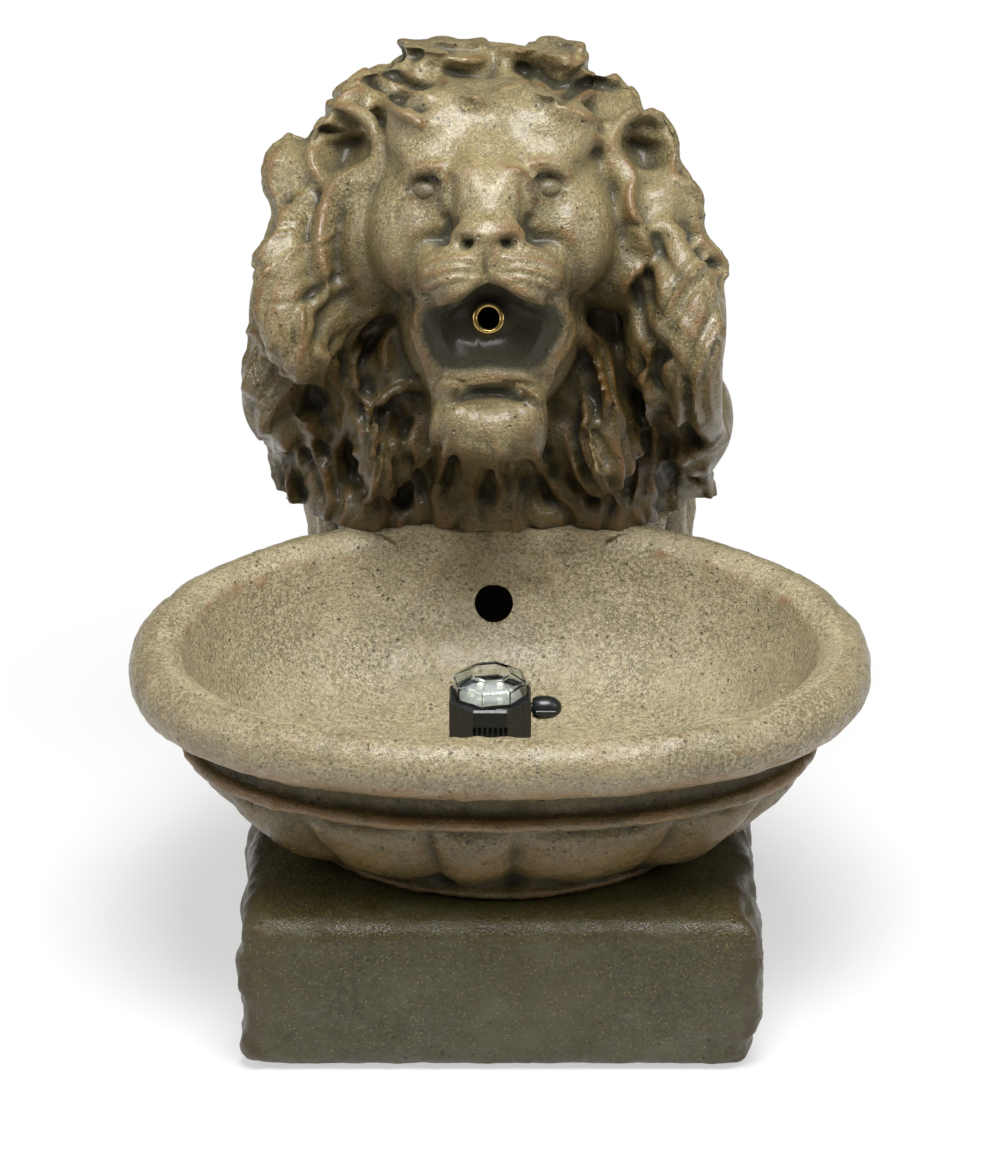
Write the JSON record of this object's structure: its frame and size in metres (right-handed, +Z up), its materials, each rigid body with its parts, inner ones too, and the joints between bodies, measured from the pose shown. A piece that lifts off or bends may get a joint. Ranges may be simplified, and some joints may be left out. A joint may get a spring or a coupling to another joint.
{
  "type": "garden fountain",
  "caption": "Cast stone-look garden fountain: lion's head with a brass spout in its open mouth over an oval rimmed basin on a hewn block, with a small lit pump.",
  "frame": {"origin": "on the ground under the middle of the object's box", "axes": "+Z up, the lion faces -Y, +X is to the viewer's right"},
  "size_m": [0.4496, 0.43, 0.52],
  "materials": {
    "stone": "cast stone look, speckled, half gloss",
    "brass": "dull yellow brass",
    "rubber": "black, matt",
    "black_plastic": "black, half matt",
    "clear_plastic": "clear moulded plastic",
    "hose_plastic": "soft milky hose",
    "steel": "plain steel",
    "magnet": "dark sintered magnet",
    "foam": "open-cell filter foam",
    "ceramic": "smooth bush",
    "board": "white board",
    "lamp": "clear lamp domes"
  },
  "bodies": {
    "fountain": {"base_block": "stone", "basin": "stone", "lion_head": "stone", "spout_tube": "brass", "spout_grommet": "rubber", "spout_nut": "brass", "riser_hose": "hose_plastic", "hose_clamp": "steel", "pump_housing": "black_plastic", "chamber_cover": "black_plastic", "rotor_shaft": "steel", "front_bush": "ceramic", "rear_bush": "ceramic", "outlet_nozzle": "black_plastic", "cable_gland": "rubber", "foot_front_left": "rubber", "foot_front_right": "rubber", "foot_back_left": "rubber", "foot_back_right": "rubber", "light_board": "board", "lamp_1": "lamp", "lamp_2": "lamp", "lamp_3": "lamp", "lamp_4": "lamp", "lamp_5": "lamp", "lamp_6": "lamp", "lens_seal": "rubber", "lens_cap": "clear_plastic"},
    "rotor": {"impeller": "black_plastic", "rotor_magnet": "magnet"},
    "knob": {"flow_knob": "black_plastic"},
    "strainer": {"strainer_cover": "black_plastic", "filter_foam": "foam"}
  },
  "joints": [
    {"name": "impeller_spin", "type": "hinge", "parent": "fountain", "child": "rotor", "pos_m": [-0.006, -0.068, 0.155], "axis": [0, 1, 0], "continuous": true},
    {"name": "flow_turn", "type": "hinge", "parent": "fountain", "child": "knob", "pos_m": [0.019, -0.049, 0.172], "axis": [1, 0, 0], "range_deg": [0, 90]},
    {"name": "strainer_pull", "type": "slide", "parent": "fountain", "child": "strainer", "axis": [0, -1, 0], "range_m": [0, 0.025]}
  ]
}
